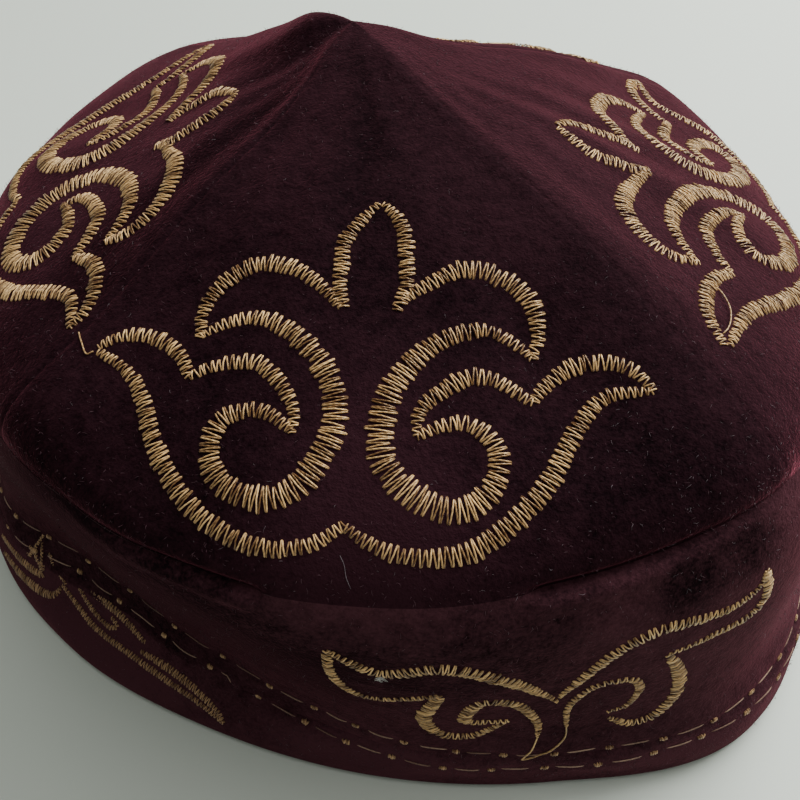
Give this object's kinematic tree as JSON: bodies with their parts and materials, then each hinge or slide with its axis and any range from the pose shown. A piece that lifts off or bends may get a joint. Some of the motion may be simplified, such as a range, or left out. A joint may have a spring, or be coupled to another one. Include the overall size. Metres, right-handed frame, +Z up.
{
  "type": "kufi cap",
  "caption": "Soft velvet kufi cap with a peaked crown of sewn gores and an upright band, embroidered with ram's-horn and plant scrolls, standing on its hem.",
  "frame": {"origin": "on the surface that the hem rests on, below the middle of the cap's outline seen from above", "axes": "+Z up from the hem to the peak of the crown; -Y towards the front gore; +X towards the right gore"},
  "size_m": [0.188, 0.1748, 0.0995],
  "materials": {
    "crown_front_velvet": "dark maroon velvet, matt with a soft sheen",
    "crown_right_velvet": "dark maroon velvet, matt with a soft sheen",
    "crown_back_velvet": "dark maroon velvet, matt with a soft sheen",
    "crown_left_velvet": "dark maroon velvet, matt with a soft sheen",
    "band_velvet": "dark maroon velvet, matt with a soft sheen"
  },
  "bodies": {
    "root": {"crown_front": "crown_front_velvet", "crown_right": "crown_right_velvet", "crown_back": "crown_back_velvet", "crown_left": "crown_left_velvet", "band": "band_velvet"}
  },
  "joints": []
}
